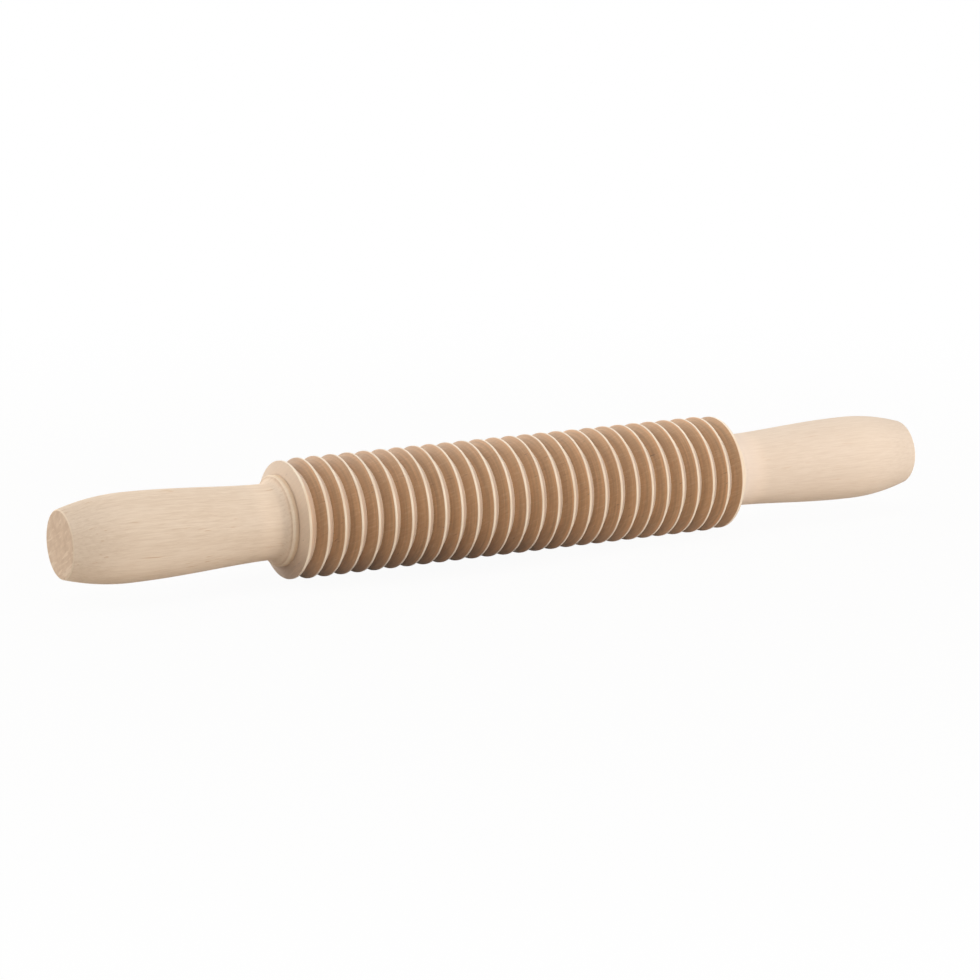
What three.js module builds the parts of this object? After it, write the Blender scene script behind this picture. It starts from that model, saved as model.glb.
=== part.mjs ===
// Pasta cutter rolling pin: a ringed beech roller that turns on a steel axle between two beech handles.
// Millimetres, +Z up. The axle lies along X, and the pin's lowest ring flats stand on Z = 0.
import * as THREE from "three";

// Roller: sharp rings cut the strips, and the dough lies in the grooves between them
const ringCount = 28;
const ringPitch = 6;
const crestRadius = 19.4;
const crestFlat = 0.6;
const grooveDepth = 3.2;
const endRingDrop = 0.4;
const endConeRun = 1.7;

// Axle: a shouldered rod with a threaded stud at each end
const axleRadius = 4;
const studRadius = 3;
const studLength = 38;

// Flanged bushes in the roller's ends
const bushWall = 2.4;
const bushLength = 20;
const bushFlangeWidth = 2.6;
const bushFlangeThickness = 2;

// Thrust washers between the bush flanges and the handles
const washerThickness = 1.2;

// Threaded inserts in the handles
const insertWall = 2;
const insertLength = 15;

// Handles: a flared collar, a neck, a long belly and a flat end
const handleLength = 74.7;
const rimRadius = 14.7;
const rimWidth = 1.7;
const rimEase = 0.35;
const coveLength = 4.5;
const neckRadius = 12.2;
const bellyRadius = 14.2;
const bellyToEnd = 22;
const swellPower = 0.85; // below 1, the grip swells sooner past the neck
const endRadius = 11.1;
const endEase = 0.6;

// Fits
const seamGap = 0.5; // roller's end to the handle's face
const runningClearance = 0.08; // axle in its bushes
const axleClearance = 1; // axle in the roller's bore between the bushes
const seatClearance = 0.1; // bush, washer and insert in their seats
const threadClearance = 0.1; // stud in its insert
const studClearance = 0.3; // stud in the handle past the insert
const studRoom = 1.5; // past the stud's tip
const faceGap = 0.15; // each side of a washer, and at the axle's shoulder

// Faces round a turned piece, and steps along its curves
const sides = 32;
const easeSteps = 3;
const coveSteps = 6;
const gripSteps = 9;
const shoulderSteps = 6;

// Places along the axle, from the middle of the roller outwards
const endRingCentre = ((ringCount - 1) / 2) * ringPitch;
const rollerEnd = endRingCentre + crestFlat / 2 + endConeRun;
const handleFace = rollerEnd + seamGap;
const neckStart = handleFace + rimWidth + coveLength;
const handleEnd = handleFace + handleLength;
const axleShoulder = handleFace - faceGap;
const studTip = axleShoulder + studLength;
const washerInner = handleFace - faceGap - washerThickness;
const bushFace = washerInner - faceGap;
const bushInner = bushFace - bushLength;

// Radii that fit on the axle or in one another
const bushBore = axleRadius + runningClearance;
const bushRadius = bushBore + bushWall;
const bushFlangeRadius = bushRadius + bushFlangeWidth;
const insertBore = studRadius + threadClearance;
const insertRadius = insertBore + insertWall;

const beech = { color: 0xe2c6a0, roughness: 0.55, metalness: 0 };
const burnishedBeech = { color: 0xb48a63, roughness: 0.5, metalness: 0 };
const steel = { color: 0xb9bbbd, roughness: 0.3, metalness: 1 };
const nylon = { color: 0xe9e6dc, roughness: 0.45, metalness: 0 };
const brass = { color: 0xc9a550, roughness: 0.35, metalness: 1 };

// A piece turned about Y from an outline of [along, radius] points. Its flats lie on the stated radii.
function turned(name, outline, finish) {
  const corner = 1 / Math.cos(Math.PI / sides);
  const points = outline.map(([along, radius]) => new THREE.Vector2(radius * corner, along));
  const geometry = new THREE.LatheGeometry(points, sides, Math.PI / sides);
  const mesh = new THREE.Mesh(geometry, new THREE.MeshStandardMaterial(finish));
  mesh.name = name;
  return mesh;
}

// The same with a hole along it: the outline runs up the outside, down the inside and closes.
function turnedRing(name, outside, inside, finish) {
  return turned(name, [...outside, ...inside, outside[0]], finish);
}

// Points at equal steps of a curve, whose share runs from 0 to 1.
function curve(steps, pointAt) {
  return Array.from({ length: steps + 1 }, (_, step) => pointAt(step / steps));
}

const quarterTurn = (share) => (share * Math.PI) / 2;
const mirrored = (outline) => outline.map(([place, radius]) => [-place, radius]).reverse();

function makeRoller() {
  const outside = [[-rollerEnd, rimRadius]];
  for (let ring = 0; ring < ringCount; ring++) {
    const centre = ring * ringPitch - endRingCentre;
    const atEnd = ring === 0 || ring === ringCount - 1;
    const radius = atEnd ? crestRadius - endRingDrop : crestRadius;
    if (ring > 0) outside.push([centre - ringPitch / 2, crestRadius - grooveDepth]);
    outside.push([centre - crestFlat / 2, radius], [centre + crestFlat / 2, radius]);
  }
  outside.push([rollerEnd, rimRadius]);

  const flangeSeat = bushFace - bushFlangeThickness - seatClearance;
  const seatFloor = bushInner - seatClearance;
  const rightSeat = [
    [rollerEnd, bushFlangeRadius + seatClearance],
    [flangeSeat, bushFlangeRadius + seatClearance],
    [flangeSeat, bushRadius + seatClearance],
    [seatFloor, bushRadius + seatClearance],
    [seatFloor, axleRadius + axleClearance],
  ];
  return turnedRing("roller", outside, [...rightSeat, ...mirrored(rightSeat)], burnishedBeech);
}

function makeAxle() {
  const right = [
    [axleShoulder, axleRadius],
    [axleShoulder, studRadius],
    [studTip, studRadius],
    [studTip, 0],
  ];
  return turned("axle", [...mirrored(right), ...right], steel);
}

function makeBush(name) {
  const flangeBack = bushFace - bushFlangeThickness;
  const outside = [
    [bushInner, bushRadius],
    [flangeBack, bushRadius],
    [flangeBack, bushFlangeRadius],
    [bushFace, bushFlangeRadius],
  ];
  const inside = [
    [bushFace, bushBore],
    [bushInner, bushBore],
  ];
  return turnedRing(name, outside, inside, nylon);
}

function makeWasher(name) {
  const washerOuter = washerInner + washerThickness;
  const outside = [
    [washerInner, bushFlangeRadius - seatClearance],
    [washerOuter, bushFlangeRadius - seatClearance],
  ];
  const inside = [
    [washerOuter, axleRadius + seatClearance],
    [washerInner, axleRadius + seatClearance],
  ];
  return turnedRing(name, outside, inside, steel);
}

function makeInsert(name) {
  const insertEnd = handleFace + insertLength;
  const outside = [
    [handleFace, insertRadius],
    [insertEnd, insertRadius],
  ];
  const inside = [
    [insertEnd, insertBore],
    [handleFace, insertBore],
  ];
  return turnedRing(name, outside, inside, brass);
}

// The collar's rim with eased edges, then its cove sweeping down to the neck
function collarOutline() {
  const rollRadius = rimRadius - rimEase;
  const rimFront = handleFace + rimEase;
  const rimBack = handleFace + rimWidth - rimEase;
  const front = curve(easeSteps, (share) => {
    const turn = quarterTurn(share);
    return [rimFront - rimEase * Math.cos(turn), rollRadius + rimEase * Math.sin(turn)];
  });
  const back = curve(easeSteps, (share) => {
    const turn = quarterTurn(share);
    return [rimBack + rimEase * Math.sin(turn), rollRadius + rimEase * Math.cos(turn)];
  });
  const cove = curve(coveSteps, (share) => {
    const turn = quarterTurn(share);
    const rise = (rollRadius - neckRadius) * (1 - Math.sin(turn));
    return [neckStart - coveLength * Math.cos(turn), neckRadius + rise];
  });
  return [...front, ...back, ...cove.slice(1)];
}

// The grip swells from the neck to its belly, draws in, and is eased into the flat end face
function gripOutline() {
  const belly = handleEnd - bellyToEnd;
  const easeStart = handleEnd - endEase;
  const swell = curve(gripSteps, (share) => {
    const rise = (1 - Math.cos(share ** swellPower * Math.PI)) / 2;
    return [neckStart + (belly - neckStart) * share, neckRadius + (bellyRadius - neckRadius) * rise];
  });
  const shoulder = curve(shoulderSteps, (share) => {
    const drop = (bellyRadius - endRadius) * share * share;
    return [belly + (easeStart - belly) * share, bellyRadius - drop];
  });
  const edge = curve(easeSteps, (share) => {
    const turn = quarterTurn(share);
    return [easeStart + endEase * Math.sin(turn), endRadius - endEase * (1 - Math.cos(turn))];
  });
  return [...swell.slice(1), ...shoulder.slice(1), ...edge.slice(1)];
}

function makeHandle(name) {
  const insertSeat = insertRadius + seatClearance;
  const insertFloor = handleFace + insertLength + seatClearance;
  const studHole = studRadius + studClearance;
  const holeEnd = studTip + studRoom;
  const outline = [
    [holeEnd, 0],
    [holeEnd, studHole],
    [insertFloor, studHole],
    [insertFloor, insertSeat],
    [handleFace, insertSeat],
    ...collarOutline(),
    ...gripOutline(),
    [handleEnd, 0],
  ];
  return turned(name, outline, beech);
}

function makeEnd(side) {
  const end = new THREE.Group();
  end.add(makeBush(side + "_bush"), makeWasher(side + "_washer"));
  end.add(makeInsert(side + "_insert"), makeHandle(side + "_handle"));
  return end;
}

// The turning axis: what was turned about Y lies along X, at the height of the crests
const turning = new THREE.Group();
turning.rotation.z = -Math.PI / 2;
turning.position.z = crestRadius;

const leftEnd = makeEnd("left");
leftEnd.rotation.z = Math.PI;
turning.add(makeRoller(), makeAxle(), makeEnd("right"), leftEnd);

const pin = new THREE.Group();
pin.add(turning);

export default pin;
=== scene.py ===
import math

import bmesh
import bpy
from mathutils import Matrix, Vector


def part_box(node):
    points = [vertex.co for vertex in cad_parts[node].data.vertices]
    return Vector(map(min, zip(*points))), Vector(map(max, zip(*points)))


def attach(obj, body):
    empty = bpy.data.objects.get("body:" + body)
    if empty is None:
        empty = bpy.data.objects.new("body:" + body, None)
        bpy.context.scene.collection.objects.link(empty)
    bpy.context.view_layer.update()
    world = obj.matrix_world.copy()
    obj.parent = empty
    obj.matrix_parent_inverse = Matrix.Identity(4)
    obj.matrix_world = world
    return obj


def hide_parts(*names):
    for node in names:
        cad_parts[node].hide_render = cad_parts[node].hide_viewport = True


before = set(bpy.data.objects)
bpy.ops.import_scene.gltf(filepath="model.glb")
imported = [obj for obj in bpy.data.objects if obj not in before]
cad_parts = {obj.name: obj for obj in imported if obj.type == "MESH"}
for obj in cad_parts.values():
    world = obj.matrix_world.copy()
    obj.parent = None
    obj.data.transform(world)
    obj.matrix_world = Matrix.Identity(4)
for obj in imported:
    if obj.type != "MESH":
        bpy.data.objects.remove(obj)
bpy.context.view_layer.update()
print("frame:", len(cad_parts), "nodes")

rollerLow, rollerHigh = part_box("roller")
handleLow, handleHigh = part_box("right_handle")
axisHeight = (rollerLow.z + rollerHigh.z) / 2
axisCentre = (0, 0, axisHeight)
crestRadius = rollerHigh.z - axisHeight
rimRadius = handleHigh.z - axisHeight
nearby = 0.00001  # points closer than this are in one place
weldGap = 0.000002  # points closer than this are joined
quarter = math.pi / 2


# camera at the photo's viewing angle
camera = {
    "place": (-0.559, -0.98263, 0.24697),
    "aim": (-0.0045, 0.00276, 0.0211),
    "lens": 128.475,
    "sensor": 36,
    "reach": 50,
}


def aimAt(thing, aim):
    direction = Vector(aim) - thing.location
    thing.rotation_euler = direction.to_track_quat("-Z", "Y").to_euler()


def makeCamera():
    bpy.ops.object.camera_add(location=camera["place"])
    view = bpy.context.object
    view.data.lens = camera["lens"]
    view.data.sensor_width = camera["sensor"]
    view.data.clip_end = camera["reach"]
    aimAt(view, camera["aim"])
    bpy.context.scene.camera = view


makeCamera()
bpy.context.scene.view_settings.view_transform = "Standard"
print("camera set")


# modelling: everything here is turned about the pin's own axis
def clearSelection():
    if bpy.context.object and bpy.context.object.mode != "OBJECT":
        bpy.ops.object.mode_set(mode="OBJECT")
    bpy.ops.object.select_all(action="DESELECT")


def drawOutline(name, outline):
    # outline points are (along the axis, radius); the first is a plane shrunk to one point
    clearSelection()
    along, radius = outline[0]
    bpy.ops.mesh.primitive_plane_add(size=nearby, location=(along, 0, axisHeight + radius))
    bpy.context.object.name = name
    bpy.ops.object.transform_apply(location=True, rotation=True, scale=True)
    bpy.ops.object.mode_set(mode="EDIT")
    bpy.ops.mesh.select_all(action="SELECT")
    bpy.ops.mesh.merge(type="CENTER")
    for here, there in zip(outline, outline[1:]):
        step = (there[0] - here[0], 0, there[1] - here[1])
        bpy.ops.mesh.extrude_vertices_move(TRANSFORM_OT_translate={"value": step})
    return bpy.context.object


def pickPoints(test):
    bpy.ops.mesh.select_mode(type="VERT")
    bpy.ops.mesh.select_all(action="DESELECT")
    mesh = bpy.context.object.data
    shape = bmesh.from_edit_mesh(mesh)
    for point in shape.verts:
        point.select_set(test(point.co))
    shape.select_flush_mode()
    bmesh.update_edit_mesh(mesh)


def roundCorners(places, size, steps):
    pickPoints(lambda point: any(abs(point.x - along) < nearby for along in places))
    bpy.ops.mesh.bevel(affect="VERTICES", offset=size, segments=steps)


def turnOutline(sides):
    bpy.ops.mesh.select_all(action="SELECT")
    bpy.ops.mesh.spin(steps=sides, angle=2 * math.pi, center=axisCentre, axis=(1, 0, 0))
    closeShape()


def closeShape():
    bpy.ops.mesh.select_all(action="SELECT")
    bpy.ops.mesh.remove_doubles(threshold=weldGap)
    bpy.ops.mesh.normals_make_consistent(inside=False)


def repeatAlong(piece, count, step):
    bpy.ops.object.modifier_add(type="ARRAY")
    repeats = piece.modifiers[-1]
    repeats.count = count
    repeats.use_relative_offset = False
    repeats.use_constant_offset = True
    repeats.constant_offset_displace = (step, 0, 0)
    repeats.use_merge_vertices = True
    repeats.merge_threshold = weldGap
    bpy.ops.object.modifier_apply(modifier=repeats.name)


def smoothPiece(angle):
    bpy.ops.object.mode_set(mode="OBJECT")
    bpy.ops.object.shade_smooth_by_angle(angle=math.radians(angle))


def fitPiece(piece, node, body, finish):
    piece.data.materials.clear()
    piece.data.materials.append(finish)
    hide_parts(node)
    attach(piece, body)
    print(piece.name, "with", len(piece.data.polygons), "faces")


# roller: one groove is turned and repeated, then both ends are carried in to the bore
rollerCut = {
    "sides": 160,
    "smoothAngle": 32,
    "grooves": 27,
    "crestFlat": 0.0006,
    "crestRound": 0.0001,
    "grooveDepth": 0.0032,
    "grooveRound": 0.0002,
    "roundSteps": 3,
    "lip": 0.15,  # share of a flank, at each end, that keeps the rounding from spreading
    "endRingDrop": 0.0004,
    "endRingFlat": 0.00048,  # how far the flat of an end ring goes out from its middle
    "endRingSlant": (0.00012, 0.00006),  # then out and down to the end cone
    "endConeRun": 0.0017,
    "endConeFoot": 0.0147,
    "footEase": (0.0001, 0.0003),  # along and out from the foot of the end cone
    "flangeSeat": (0.0799, 0.00918),
    "seatEase": 0.0003,
    "bushSeat": (0.0619, 0.00658),
    "bore": 0.005,
}
halfCrest = rollerCut["crestFlat"] / 2
endRing = rollerHigh.x - rollerCut["endConeRun"] - halfCrest  # middle of the last ring
pitch = 2 * endRing / rollerCut["grooves"]
lipRun = rollerCut["lip"] * (pitch / 2 - halfCrest)
lipDrop = rollerCut["lip"] * rollerCut["grooveDepth"]


def turnGroove():
    # half a ring, the groove and half a ring, at the left end
    foot = crestRadius - rollerCut["grooveDepth"]
    outline = [
        (0, crestRadius),
        (halfCrest, crestRadius),
        (halfCrest + lipRun, crestRadius - lipDrop),
        (pitch / 2 - lipRun, foot + lipDrop),
        (pitch / 2, foot),
        (pitch / 2 + lipRun, foot + lipDrop),
        (pitch - halfCrest - lipRun, crestRadius - lipDrop),
        (pitch - halfCrest, crestRadius),
        (pitch, crestRadius),
    ]
    piece = drawOutline("ringedRoller", [(along - endRing, radius) for along, radius in outline])
    crestEdges = (halfCrest - endRing, pitch - halfCrest - endRing)
    roundCorners(crestEdges, rollerCut["crestRound"], rollerCut["roundSteps"])
    roundCorners((pitch / 2 - endRing,), rollerCut["grooveRound"], rollerCut["roundSteps"])
    turnOutline(rollerCut["sides"])
    bpy.ops.object.mode_set(mode="OBJECT")
    return piece


def endPath():
    # end cone, face, flange seat, bush seat and bore
    edge = crestRadius - rollerCut["endRingDrop"]
    flatEnd = endRing + rollerCut["endRingFlat"]
    slantOut, slantDown = rollerCut["endRingSlant"]
    easeAlong, easeOut = rollerCut["footEase"]
    flange, flangeRadius = rollerCut["flangeSeat"]
    bush, bushRadius = rollerCut["bushSeat"]
    return [
        (endRing, edge),
        (flatEnd, edge),
        (flatEnd + slantOut, edge - slantDown),
        (rollerHigh.x - easeAlong, rollerCut["endConeFoot"] + easeOut),
        (rollerHigh.x, rollerCut["endConeFoot"]),
        (rollerHigh.x, flangeRadius + rollerCut["seatEase"]),
        (rollerHigh.x - rollerCut["seatEase"], flangeRadius),
        (flange, flangeRadius),
        (flange, bushRadius),
        (bush, bushRadius),
        (bush, rollerCut["bore"]),
        (0, rollerCut["bore"]),
    ]


def makeRoller(finish):
    piece = turnGroove()
    repeatAlong(piece, rollerCut["grooves"], pitch)

    # the end rings stand a little lower
    bpy.ops.object.mode_set(mode="EDIT")
    lower = 1 - rollerCut["endRingDrop"] / crestRadius
    pickPoints(lambda point: abs(point.x) > endRing - halfCrest - lipRun - nearby)
    bpy.ops.transform.resize(value=(1, lower, lower), center_override=axisCentre)

    # both open ends go the same way and meet in the middle of the bore
    pickPoints(lambda point: abs(point.x) > endRing - nearby)
    path = endPath()
    for here, there in zip(path, path[1:]):
        grow = there[1] / here[1]
        bpy.ops.mesh.extrude_region_move()
        bpy.ops.transform.resize(value=(there[0] / here[0], grow, grow), center_override=axisCentre)
    closeShape()
    smoothPiece(rollerCut["smoothAngle"])
    fitPiece(piece, "roller", "roller", finish)


# handle: collar with an eased rim and a cove, long grip, flat end, and the hole for the insert and stud
handleTurning = {
    "sides": 160,
    "smoothAngle": 40,
    "rimWidth": 0.0018,
    "rubRing": (0.0115, 0.00046),  # inner radius and height of the ring that runs by the roller
    "faceEase": 0.00015,
    "rimRound": 0.0008,
    "rimTurn": math.radians(70),  # how far the rim rolls over before the cove begins
    "coveLength": 0.0033,
    "neckRadius": 0.0122,
    "bellyRadius": 0.0142,
    "bellyToEnd": 0.022,
    "swellPower": 0.85,  # under 1, the grip swells sooner after the neck
    "endRadius": 0.0111,
    "endEase": 0.0008,
    "easeSteps": 5,
    "coveSteps": 14,
    "gripSteps": 24,
    "shoulderSteps": 16,
    "insertSeat": (0.0151, 0.0052),
    "studHole": (0.03935, 0.0033),
}


def curve(steps, pointAt):
    return [pointAt(step / steps) for step in range(steps + 1)]


def holeOutline(face):
    seatDepth, seatRadius = handleTurning["insertSeat"]
    holeDepth, holeRadius = handleTurning["studHole"]
    ringRadius, ringHeight = handleTurning["rubRing"]
    return [
        (face + holeDepth + holeRadius / 2, 0),
        (face + holeDepth, holeRadius),
        (face + seatDepth, holeRadius),
        (face + seatDepth, seatRadius),
        (face, seatRadius),
        (face, ringRadius),
        (face - ringHeight, ringRadius + ringHeight),
    ]


def collarOutline(face):
    faceEase, rimRound, rimTurn, coveLength, neck = [
        handleTurning[name] for name in ("faceEase", "rimRound", "rimTurn", "coveLength", "neckRadius")
    ]
    ringFace = face - handleTurning["rubRing"][1]
    rimBack = face + handleTurning["rimWidth"] - rimRound

    # the cove is the part of an ellipse that leaves the rim in the rim's own direction
    neckStart = rimBack + rimRound * math.sin(rimTurn) + coveLength
    drop = rimRadius - rimRound * (1 - math.cos(rimTurn)) - neck
    coveSine = drop / (coveLength * math.tan(rimTurn) - drop)
    coveTurn = math.asin(coveSine)

    front = curve(handleTurning["easeSteps"], lambda share: (
        ringFace + faceEase * (1 - math.cos(share * quarter)),
        rimRadius - faceEase * (1 - math.sin(share * quarter)),
    ))
    back = curve(handleTurning["easeSteps"], lambda share: (
        rimBack + rimRound * math.sin(share * rimTurn),
        rimRadius - rimRound * (1 - math.cos(share * rimTurn)),
    ))
    cove = curve(handleTurning["coveSteps"], lambda share: (
        neckStart - coveLength * math.cos(coveTurn + (quarter - coveTurn) * share) / math.cos(coveTurn),
        neck + drop * (1 - math.sin(coveTurn + (quarter - coveTurn) * share)) / (1 - coveSine),
    ))
    return front + back + cove[1:]


def gripOutline(neckStart, end):
    neck, belly, endRadius, endEase = [
        handleTurning[name] for name in ("neckRadius", "bellyRadius", "endRadius", "endEase")
    ]
    bellyPlace = end - handleTurning["bellyToEnd"]
    easeStart = end - endEase
    grip = curve(handleTurning["gripSteps"], lambda share: (
        neckStart + (bellyPlace - neckStart) * share,
        neck + (belly - neck) * (1 - math.cos(share ** handleTurning["swellPower"] * math.pi)) / 2,
    ))
    shoulder = curve(handleTurning["shoulderSteps"], lambda share: (
        bellyPlace + (easeStart - bellyPlace) * share,
        belly - (belly - endRadius) * share ** 2,
    ))
    edge = curve(handleTurning["easeSteps"], lambda share: (
        easeStart + endEase * math.sin(share * quarter),
        endRadius - endEase * (1 - math.cos(share * quarter)),
    ))
    return grip[1:] + shoulder[1:] + edge[1:] + [(end, 0)]


def makeHandles(finish):
    collar = collarOutline(handleLow.x)
    neckStart = collar[-1][0]
    outline = holeOutline(handleLow.x) + collar + gripOutline(neckStart, handleHigh.x)
    right = drawOutline("rightHandle", outline)
    turnOutline(handleTurning["sides"])
    smoothPiece(handleTurning["smoothAngle"])

    clearSelection()
    right.select_set(True)
    bpy.ops.object.duplicate()
    left = bpy.context.object
    left.name = "leftHandle"
    bpy.ops.transform.rotate(value=math.pi, orient_axis="Z", center_override=(0, 0, 0))
    bpy.ops.object.transform_apply(location=True, rotation=True, scale=True)
    fitPiece(right, "right_handle", "handles", finish)
    fitPiece(left, "left_handle", "handles", finish)


# one socket of a shader, so that sums on it can be written as sums
class Signal:
    def __init__(self, tree, socket=None):
        self.tree = tree
        self.socket = socket

    def node(self, kind, settings, values, output=0):
        made = self.tree.nodes.new(kind)
        for name, value in settings.items():
            setattr(made, name, value)
        for name, value in values.items():
            if isinstance(value, Signal):
                self.tree.links.new(value.socket, made.inputs[name])
            else:
                made.inputs[name].default_value = value
        return Signal(self.tree, made.outputs[output] if made.outputs else None)

    def math(self, operation, first, second=0.0):
        return self.node("ShaderNodeMath", {"operation": operation}, {0: first, 1: second})

    def __add__(self, other):
        return self.math("ADD", self, other)

    def __radd__(self, other):
        return self.math("ADD", other, self)

    def __sub__(self, other):
        return self.math("SUBTRACT", self, other)

    def __rsub__(self, other):
        return self.math("SUBTRACT", other, self)

    def __mul__(self, other):
        return self.math("MULTIPLY", self, other)

    def __rmul__(self, other):
        return self.math("MULTIPLY", other, self)

    def __truediv__(self, other):
        return self.math("DIVIDE", self, other)

    def __rtruediv__(self, other):
        return self.math("DIVIDE", other, self)

    def __abs__(self):
        return self.math("ABSOLUTE", self)


def tint(red, green, blue):
    # a screen colour, 0 to 255, as the value that a socket takes
    screen = [value / 255 for value in (red, green, blue)]
    linear = [value / 12.92 if value < 0.04045 else ((value + 0.055) / 1.055) ** 2.4 for value in screen]
    return (*linear, 1)


white = tint(255, 255, 255)


def vectors(operation, first, second, output=0):
    return first.node("ShaderNodeVectorMath", {"operation": operation}, {0: first, 1: second}, output)


def length(vector):
    return vectors("LENGTH", vector, (0, 0, 0), "Value")


def part(vector, axis):
    return vector.node("ShaderNodeSeparateXYZ", {}, {0: vector}, axis)


def blend(share, first, second):
    settings = {"data_type": "RGBA"}
    return share.node("ShaderNodeMix", settings, {0: share, 6: first, 7: second}, 2)


def shade(colour, amount):
    return amount.node("ShaderNodeVectorMath", {"operation": "SCALE"}, {0: colour, "Scale": amount})


def between(share, first, second):
    # a number that goes from the first to the second as the share goes from 0 to 1
    return first + (second - first) * share


def ease(value, low, high):
    settings = {"interpolation_type": "SMOOTHSTEP"}
    return value.node("ShaderNodeMapRange", settings, {"Value": value, "From Min": low, "From Max": high})


def band(value, rise, fall):
    return ease(value, *rise) * (1 - ease(value, *fall))


def noise(place, stretch, detail=2.0, roughness=0.5):
    stretched = vectors("MULTIPLY", place, stretch)
    values = {"Vector": stretched, "Scale": 1.0, "Detail": detail, "Roughness": roughness}
    return place.node("ShaderNodeTexNoise", {}, values)


def spots(place, stretch, cut, detail=1.0, roughness=0.5):
    # patches where the noise passes the cut
    return ease(noise(place, stretch, detail, roughness), *cut)


def bump(height, strength, distance):
    return height.node("ShaderNodeBump", {}, {"Height": height, "Strength": strength, "Distance": distance})


def startFinish(name):
    finish = bpy.data.materials.new(name)
    finish.use_nodes = True
    finish.node_tree.nodes.clear()
    return finish, Signal(finish.node_tree)


def endFinish(start, values):
    surface = start.node("ShaderNodeBsdfPrincipled", {}, values)
    start.node("ShaderNodeOutputMaterial", {}, {"Surface": surface})


# beech: growth layers round a pith above and behind the pin, fibres along it and short darker flecks
beech = {
    "pith": (0, 0.031, 0.052),
    "layer": 0.0017,
    "late": (0.45, 0.92),  # where the late wood of a layer starts and where it is darkest
    "drift": 0.002,
    "driftScale": 15,
    "fibres": (150, 2000, 2000),
    "fibreDetail": (5, 0.65),
    "clouds": (14, 90, 90),
    "flecks": (110, 1700, 1700),
    "fleckCut": (0.66, 0.76),
    "patches": (35, 130, 130),  # flecks come in patches
    "patchCut": (0.44, 0.58),
}


def beechGrain(start):
    seen = start.node("ShaderNodeTexCoord", {}, {}, "Object")
    place = start.node("ShaderNodeMapping", {}, {"Vector": seen, "Location": (0, 0, -axisHeight)})
    normal = start.node("ShaderNodeTexCoord", {}, {}, "Normal")

    wandering = {"Vector": place, "Scale": beech["driftScale"], "Detail": 2}
    wander = start.node("ShaderNodeTexNoise", {}, wandering, "Color")
    wander = vectors("SUBTRACT", wander, (0.5, 0.5, 0.5))
    wander = vectors("MULTIPLY", wander, (beech["drift"],) * 3)
    drifted = vectors("ADD", place, wander)

    spoke = vectors("MULTIPLY", vectors("SUBTRACT", drifted, beech["pith"]), (0, 1, 1))
    layers = length(spoke) / beech["layer"]
    growth = layers.math("FRACT", layers)
    lateStart, lateDarkest = beech["late"]

    # turned so that the growth layers lie along its second axis
    layerTurn = math.atan2(beech["pith"][1], beech["pith"][2])
    layered = start.node("ShaderNodeMapping", {}, {"Vector": drifted, "Rotation": (layerTurn, 0, 0)})

    fleck = spots(drifted, beech["flecks"], beech["fleckCut"])
    patch = spots(drifted, beech["patches"], beech["patchCut"])
    return {
        "place": place,
        "layered": layered,
        "along": part(place, "X"),
        "height": part(place, "Z"),
        "radius": length(vectors("MULTIPLY", place, (0, 1, 1))),
        "ahead": part(normal, "X"),
        "facing": abs(part(normal, "X")),
        "late": band(growth, (lateStart, lateDarkest), (lateDarkest, 1)),
        "fibre": noise(drifted, beech["fibres"], *beech["fibreDetail"]),
        "cloud": noise(drifted, beech["clouds"]),
        "fleck": fleck * patch,
    }


def beechFigure(grain, shares):
    fibres, clouds, late = shares
    return fibres * grain["fibre"] + clouds * grain["cloud"] + late * grain["late"]


handleLook = {
    "cream": tint(245, 224, 201),
    "tan": tint(227, 202, 176),
    "figure": (0.6, 0.35, 0.05),  # shares of fibres, clouds and late wood
    "figureCut": (0.28, 0.72),
    "paleAndLit": tint(231, 213, 197),  # the far handle is a paler piece of beech, and partly painted light from the right, most by its collar
    "paleShare": (0.75, 0.35),  # by its collar and on its grip
    "paleFade": (0.004, 0.012),
    "fleck": tint(208, 164, 118),
    "fleckShare": (0.7, 0.2),  # on the near handle and the far one

    "endGrain": tint(221, 195, 169),
    "endFacing": (0.75, 0.97),
    "endPore": tint(198, 168, 141),
    "endPores": (330, 330, 330),
    "poreCut": (0.3, 0.7),
    "poreDetail": (3, 0.6),
    "poreShare": 0.6,
    "endLate": 0.2,
    "endRay": tint(227, 203, 178),
    "endRays": (300, 170, 900),
    "rayCut": (0.56, 0.68),
    "rayShare": 0.9,

    "neckZone": ((0.003, 0.005), (0.008, 0.014)),  # where it fades in and out, from the collar's face
    # painted light: how much lighter the neck is drawn
    "neckPaintedLight": 0.08,
    "endZone": ((0.0001, 0.0006), (0.002, 0.02)),  # the same from the grip's end
    "endDarker": 0.07,
    "rimTan": tint(230, 202, 170),
    "rimShare": 0.7,
    "rimFade": (0.7, 1.4),  # in roundings of the rim
    # pale turned edges: partly real wear, partly a painted highlight
    "wornAndHighlight": tint(250, 230, 203),
    "wornRimHighlight": 0.5,
    "wornRimHighlightDepth": (0.0006, 0.0001),
    "wornEndHighlight": 0.35,
    "wornEndHighlightFade": (0.0008, 0.0014),
    "wornHighlightFacing": ((0.35, 0.55), (0.9, 0.98)),
    # painted shade where the collar meets the roller
    "seamShade": tint(176, 138, 104),
    "seamShare": 0.2,
    "seamFade": (-0.0001, 0.0004),

    "roughness": (0.56, 0.78),
    "specular": 0.2,
    "bump": (0.05, 0.0002),
}


def handleSide(grain, fromFace):
    look = handleLook
    colour = blend(ease(beechFigure(grain, look["figure"]), *look["figureCut"]), look["cream"], look["tan"])
    farHandle = ease(grain["along"], -handleLow.x, handleLow.x)
    # the far handle is drawn paler: partly its own paler beech, partly painted light from the right, most
    # by its collar
    paler = between(ease(fromFace, *look["paleFade"]), *look["paleShare"])
    colour = blend(farHandle * paler, colour, look["paleAndLit"])
    return blend(between(farHandle, *look["fleckShare"]) * grain["fleck"], colour, look["fleck"])


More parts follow.
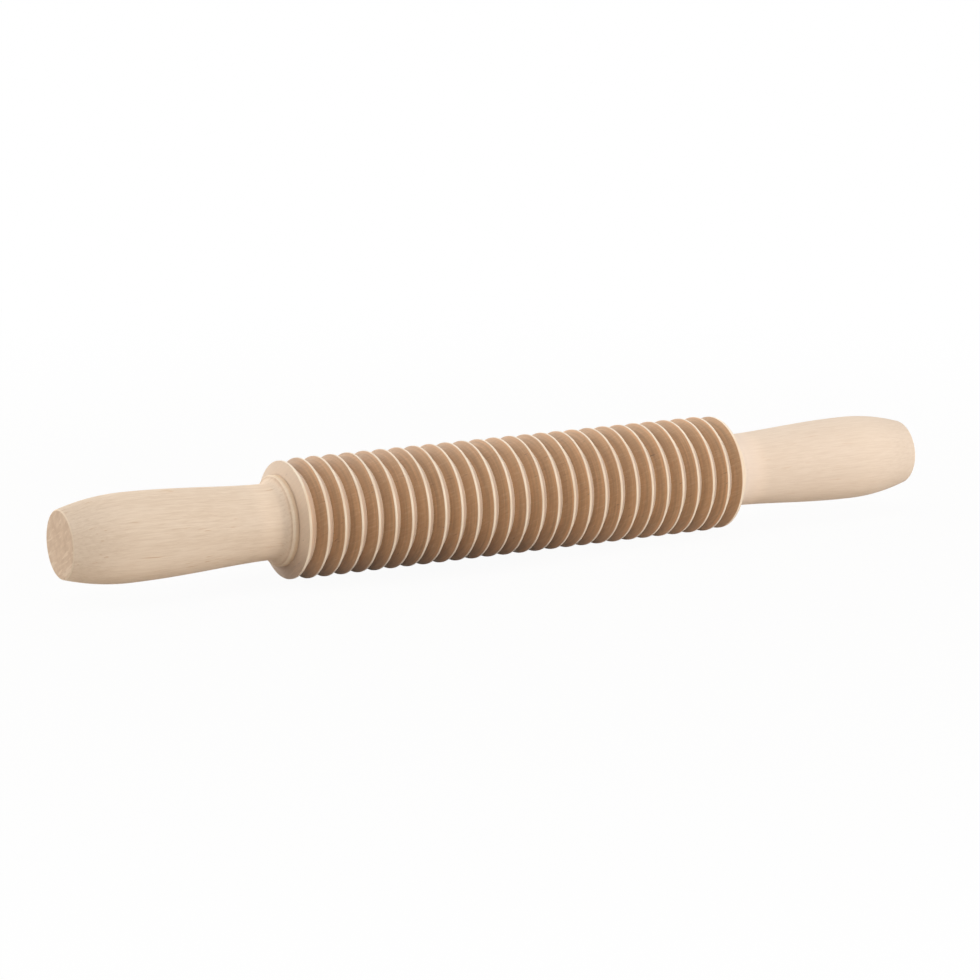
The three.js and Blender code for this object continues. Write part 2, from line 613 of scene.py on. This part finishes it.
def handleEndGrain(grain):
    # mottled pores, faint growth layers and pale rays along them
    look = handleLook
    pores = spots(grain["place"], look["endPores"], look["poreCut"], *look["poreDetail"])
    rays = spots(grain["layered"], look["endRays"], look["rayCut"])
    colour = blend(look["poreShare"] * pores, look["endGrain"], look["endPore"])
    colour = blend(look["endLate"] * grain["late"], colour, look["endPore"])
    return blend(look["rayShare"] * rays, colour, look["endRay"])


def makeHandleBeech():
    look = handleLook
    finish, start = startFinish("handleBeech")
    grain = beechGrain(start)
    fromFace = abs(grain["along"]) - handleLow.x
    toEnd = handleHigh.x - abs(grain["along"])
    onEnd = ease(grain["facing"], *look["endFacing"])
    colour = blend(onEnd, handleSide(grain, fromFace), handleEndGrain(grain))

    # the neck is drawn lighter as painted light, rim and grip end a little darker, and both turned edges
    # are rubbed pale and carry a painted highlight
    paler = look["neckPaintedLight"] * band(fromFace, *look["neckZone"])
    darker = look["endDarker"] * band(toEnd, *look["endZone"])
    colour = shade(colour, 1 + paler - darker)
    onRim = 1 - ease(fromFace, *[share * handleTurning["rimRound"] for share in look["rimFade"]])
    colour = blend(look["rimShare"] * onRim, colour, look["rimTan"])
    # the rim's rounding and the grip's end edge: rubbed pale and a painted highlight
    outer = ease(grain["radius"], *[rimRadius - depth for depth in look["wornRimHighlightDepth"]])
    wornRimHighlight = look["wornRimHighlight"] * outer * (1 - onRim)
    slanted = band(grain["facing"], *look["wornHighlightFacing"])
    wornEndHighlight = look["wornEndHighlight"] * slanted * (1 - ease(toEnd, *look["wornEndHighlightFade"]))
    colour = blend(wornEndHighlight + wornRimHighlight, colour, look["wornAndHighlight"])
    # painted shade on the collar's face, by the gap to the roller
    colour = blend(look["seamShare"] * (1 - ease(fromFace, *look["seamFade"])), colour, look["seamShade"])

    endFinish(start, {
        "Base Color": colour,
        "Roughness": between(grain["fibre"], *look["roughness"]),
        "Specular IOR Level": look["specular"],
        "Normal": bump(grain["fibre"], *look["bump"]),
    })
    return finish


# depths are shares of a groove's depth, and a far flank is one that faces the right end
rollerLook = {
    "flank": tint(192, 149, 105),
    "flankDeep": tint(178, 134, 92),
    "figure": (0.5, 0.4, 0.12),  # shares of fibres, clouds and late wood
    "figureCut": (0.2, 0.85),
    "streak": tint(214, 179, 141),
    "streakShare": 0.3,
    # painted glow below each crest, standing in for light that comes through the thin rings from the right
    "flankGlow": tint(216, 161, 112),
    "glowShare": (0.5, 3),  # in the middle of the pin, and its change in a metre
    "glowDepth": (0.06, 0.26),
    # flanks that face the right end are lit by the key lamp: their own colour, extra lightness and the
    # further fade of the pale crest on them are painted light
    "flankFarLit": tint(196, 147, 97),
    "farFacing": (0.3, 0.6),
    "farShare": (0.45, -4),  # likewise
    "farPaintedLight": (0.12, -2.1),  # likewise
    "shade": (0.58, 0.4),  # likewise
    "markShade": 0.9,
    "footDepth": (0.22, 0.65),
    "footShade": (1.03, 0.88),  # painted shade: the flank's brightness above and in the foot of a groove

    # the end cone is drawn lighter on top and darker below: painted light and shade from above
    "coneLitHigh": tint(224, 196, 167),
    "coneShadedLow": tint(172, 134, 102),
    "coneShadeHeight": (-0.019, -0.002),
    "coneShade": (0.84, 1.12),
    "coneStreak": 0.35,
    "coneFacing": (0.8, 0.9),
    # painted shade at the foot of the end cone, by the gap to the handle
    "seamShade": tint(150, 114, 86),
    "seamShare": 0.2,
    "seamWidth": 0.0006,

    "crest": tint(254, 235, 208),
    "crestDark": tint(242, 216, 185),
    "crestCut": (0.3, 0.7),
    "crestFacing": (0.25, 0.6),
    "crestFade": 0.06,  # depth in which the pale crest fades out
    "farLitFade": (0.08, -0.7),  # painted light added on the far flanks: in the middle, and its change in a metre
    "endRingFade": 0.05,  # how much sooner it starts to fade at the end rings

    "toolMarks": (2100, 45, 45),
    "markDetail": (2, 0.6),
    "rays": (350, 260, 2500),
    "rayCut": (0.5, 0.72),
    "darkRay": tint(118, 84, 58),
    "darkRays": (300, 380, 2600),
    "darkRayCut": (0.69, 0.75),
    "darkPatchCut": (0.5, 0.6),
    "darkRayShare": 0.7,

    "roughness": (0.52, 0.72),
    "specular": 0.12,
    "sheenRoughness": 0.62,
    "sheen": tint(255, 246, 236),
    "fibreBump": 0.2,
    "bump": (0.12, 0.0002),
}


def alongPin(grain, pair):
    middle, slope = pair
    return middle + slope * grain["along"]


def flankColour(grain, depth, figure, rays, marks, farSide):
    look = rollerLook
    colour = blend(ease(figure, *look["figureCut"]), look["flank"], look["flankDeep"])
    colour = blend(look["streakShare"] * rays, colour, look["streak"])
    # painted glow of light through the thin crests, stronger towards the right end
    belowCrest = 1 - ease(depth, *look["glowDepth"])
    colour = blend(alongPin(grain, look["glowShare"]) * belowCrest, colour, look["flankGlow"])
    # painted light on the flanks that face the right end: their own colour and extra lightness, most at the
    # left end
    colour = blend(farSide * alongPin(grain, look["farShare"]), colour, look["flankFarLit"])
    # painted shade: flanks drawn darker towards the foot of each groove
    foot = between(ease(depth, *look["footDepth"]), *look["footShade"])
    paler = farSide * alongPin(grain, look["farPaintedLight"])
    return shade(colour, foot * (alongPin(grain, look["shade"]) + look["markShade"] * marks + paler))


def coneColour(grain, figure, rays):
    look = rollerLook
    # painted light and shade: lighter on top, darker below
    colour = blend(ease(grain["height"], *look["coneShadeHeight"]), look["coneShadedLow"], look["coneLitHigh"])
    colour = shade(colour, between(figure, *look["coneShade"]))
    colour = blend(look["coneStreak"] * rays, colour, look["coneLitHigh"])
    # painted shade at the foot of the end cone
    foot = rollerCut["endConeFoot"]
    seamShade = 1 - ease(grain["radius"], foot, foot + look["seamWidth"])
    return blend(look["seamShare"] * seamShade, colour, look["seamShade"])


def makeRollerBeech():
    look = rollerLook
    finish, start = startFinish("rollerBeech")
    grain = beechGrain(start)
    depth = (crestRadius - grain["radius"]) / rollerCut["grooveDepth"]
    figure = beechFigure(grain, look["figure"])
    marks = noise(grain["place"], look["toolMarks"], *look["markDetail"])
    rays = spots(grain["layered"], look["rays"], look["rayCut"], 2)
    darkRays = spots(grain["layered"], look["darkRays"], look["darkRayCut"])
    darkRays = darkRays * spots(grain["place"], beech["patches"], look["darkPatchCut"])

    farSide = ease(grain["ahead"], *look["farFacing"])
    onCone = ease(grain["facing"], *look["coneFacing"])
    flank = flankColour(grain, depth, figure, rays, marks, farSide)
    colour = blend(onCone, flank, coneColour(grain, figure, rays))
    colour = blend(look["darkRayShare"] * darkRays, colour, look["darkRay"])

    # the crests are pale, and so are the lower crests of the end rings
    crest = blend(ease(grain["cloud"], *look["crestCut"]), look["crest"], look["crestDark"])
    lowerCrest = onCone * (rollerCut["endRingDrop"] / rollerCut["grooveDepth"] - look["endRingFade"])
    # the pale crest fades further down the far flanks: painted light
    fade = look["crestFade"] + farSide * alongPin(grain, look["farLitFade"])
    belowCrest = ease(grain["facing"], *look["crestFacing"]) * ease(depth - lowerCrest, 0, fade)
    colour = blend(belowCrest, crest, colour)

    endFinish(start, {
        "Base Color": colour,
        "Roughness": between(grain["fibre"], *look["roughness"]),
        "Specular IOR Level": look["specular"],
        "Sheen Weight": 1.0,
        "Sheen Roughness": look["sheenRoughness"],
        "Sheen Tint": look["sheen"],
        "Normal": bump(marks + look["fibreBump"] * grain["fibre"], *look["bump"]),
    })
    return finish


makeRoller(makeRollerBeech())
makeHandles(makeHandleBeech())


# metal and plastic of the hidden bearing, with fine lines from the lathe
bearingLook = {
    "drawnSteel": {
        "pieces": ("axle", "washer"),
        "colours": (tint(190, 192, 195), tint(160, 162, 166)),
        "metallic": 1.0,
        "roughness": (0.25, 0.4),
        "lines": (4000, 300, 300),
    },
    "naturalNylon": {
        "pieces": ("bush",),
        "colours": (tint(233, 230, 220), tint(222, 218, 205)),
        "metallic": 0.0,
        "roughness": (0.4, 0.55),
        "lines": (700, 700, 700),
    },
    "turnedBrass": {
        "pieces": ("insert",),
        "colours": (tint(205, 170, 86), tint(176, 138, 62)),
        "metallic": 1.0,
        "roughness": (0.28, 0.43),
        "lines": (5000, 200, 200),
    },
}
bearingLines = {"detail": (3, 0.6), "bump": (0.1, 0.0001)}


def makeBearingFinish(name):
    look = bearingLook[name]
    finish, start = startFinish(name)
    place = start.node("ShaderNodeTexCoord", {}, {}, "Object")
    lines = noise(place, look["lines"], *bearingLines["detail"])
    endFinish(start, {
        "Base Color": blend(lines, *look["colours"]),
        "Metallic": look["metallic"],
        "Roughness": between(lines, *look["roughness"]),
        "Normal": bump(lines, *bearingLines["bump"]),
    })
    return finish


def dressBearing():
    for name, look in bearingLook.items():
        finish = makeBearingFinish(name)
        for nodeName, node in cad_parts.items():
            if nodeName.split("_")[-1] in look["pieces"]:
                node.data.materials.clear()
                node.data.materials.append(finish)


dressBearing()
print("bearing dressed")


# studio: white floor, a low key lamp at the right front and weak soft lamps above, left and behind
studio = {
    "floorSize": 30,
    "floorColour": (0.7, 0.66, 0.61, 1),
    "floorShade": (0.23, 0.15, 0.09, 1),  # a darker strip under the roller that throws less light back onto it; where the camera sees it, a faint painted shadow
    "floorShadeSqueeze": (0.4, 1, 1),  # makes the strip long; its middle and fade are in this measure
    "floorShadeCentre": (-0.012, 0, 0),
    "floorShadeFade": (0.01, 0.036),
    "floorGlow": (0.955, 1.0),  # share of plain white that the camera sees, by the pin and far off
    "floorFade": (0.1, 0.6),
    "ambient": 0.15,
    "lamps": {  # place, width, and share of full brightness on a surface that faces the lamp
        "key": ((0.544, -0.68, 0.227), 0.6, 0.63),
        "right": ((0.84, -0.27, 0.18), 0.6, 0.12),
        "leftFront": ((-1.05, -1.4, 0.44), 1.2, 0.12),
        "overhead": ((0, 0, 1.8), 1.2, 0.29),
        "leftTop": ((-1.27, 0, 1.27), 1.2, 0.2),
        "backLeft": ((-1.18, 1.18, 0.67), 1.2, 0.43),
        "backTop": ((0.4, 1.2, 1.2), 1.2, 0.12),
    },
}


def seenDirectly(start):
    # 1 for what the camera sees straight, mirrored or through glass
    kinds = ("Is Camera Ray", "Is Glossy Ray", "Is Transmission Ray")
    rays = [start.node("ShaderNodeLightPath", {}, {}, kind) for kind in kinds]
    return ease(rays[0] + rays[1] + rays[2], 0, 1)


def makeFloor():
    clearSelection()
    bpy.ops.mesh.primitive_plane_add(size=studio["floorSize"], location=(0, 0, 0))
    floor = bpy.context.object
    floor.name = "studioFloor"
    finish, start = startFinish("floorWhite")
    place = start.node("ShaderNodeTexCoord", {}, {}, "Object")
    squeezed = vectors("MULTIPLY", place, studio["floorShadeSqueeze"])
    beside = vectors("DISTANCE", squeezed, studio["floorShadeCentre"], "Value")
    # painted shade: the floor is darker in a strip under the roller
    colour = blend(ease(beside, *studio["floorShadeFade"]), studio["floorShade"], studio["floorColour"])
    values = {"Base Color": colour, "Roughness": 1.0, "Specular IOR Level": 0.0}
    painted = start.node("ShaderNodeBsdfPrincipled", {}, values)
    glow = start.node("ShaderNodeEmission", {}, {"Color": white, "Strength": 1.0})
    share = between(ease(length(place), *studio["floorFade"]), *studio["floorGlow"]) * seenDirectly(start)
    surface = start.node("ShaderNodeMixShader", {}, {0: share, 1: painted, 2: glow})
    start.node("ShaderNodeOutputMaterial", {}, {"Surface": surface})
    floor.data.materials.append(finish)


def makeLight():
    world = bpy.data.worlds.new("studioAir")
    world.use_nodes = True
    world.node_tree.nodes.clear()
    start = Signal(world.node_tree)
    strength = between(seenDirectly(start), studio["ambient"], 1)
    air = start.node("ShaderNodeBackground", {}, {"Color": white, "Strength": strength})
    start.node("ShaderNodeOutputWorld", {}, {"Surface": air})
    bpy.context.scene.world = world

    for name, (place, width, share) in studio["lamps"].items():
        bpy.ops.object.light_add(type="AREA", location=place)
        light = bpy.context.object
        light.name = name
        light.data.size = width
        light.visible_camera = False
        aimAt(light, axisCentre)
        distance = (light.location - Vector(axisCentre)).length
        light.data.energy = share * (math.pi * distance) ** 2


makeFloor()
makeLight()
print("studio lit")
